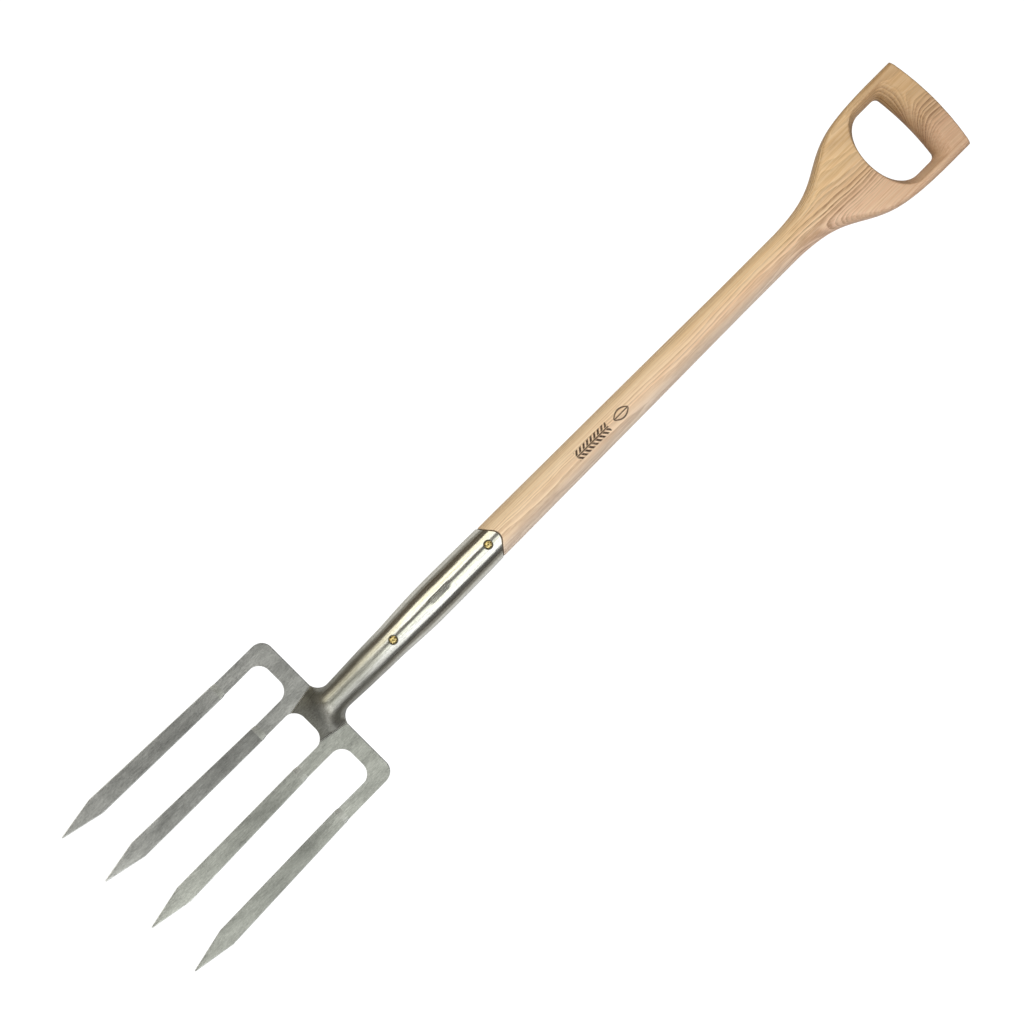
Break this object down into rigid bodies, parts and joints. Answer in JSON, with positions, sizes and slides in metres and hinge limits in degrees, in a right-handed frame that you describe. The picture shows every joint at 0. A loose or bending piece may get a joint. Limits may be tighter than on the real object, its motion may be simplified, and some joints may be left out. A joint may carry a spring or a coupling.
{
  "type": "digging fork",
  "caption": "Digging fork with a round ash shaft and D grip in one piece, a riveted steel socket and a flat four-tined head.",
  "frame": {"origin": "middle of the footprint, on the surface the fork lies on, back down and front face up", "axes": "+X runs along the tool from the tine points towards the grip, +Y across the head, +Z out of the front face"},
  "size_m": [1.14, 0.2056, 0.0415],
  "materials": {
    "ash": "sanded and oiled, open latewood grain",
    "socket_steel": "satin, hand-forged and polished lengthways",
    "head_steel": "brushed stainless, ground flat",
    "weld_steel": "weld metal ground nearly flush",
    "rivet_brass": "hammered, satin"
  },
  "bodies": {
    "root": {"handle": "ash", "socket": "socket_steel", "left_yoke": "head_steel", "right_yoke": "head_steel", "outer_left_tine": "head_steel", "inner_left_tine": "head_steel", "inner_right_tine": "head_steel", "outer_right_tine": "head_steel", "tine_welds": "weld_steel", "foot_welds": "weld_steel", "upper_rivet": "rivet_brass", "lower_rivet": "rivet_brass"}
  },
  "joints": []
}
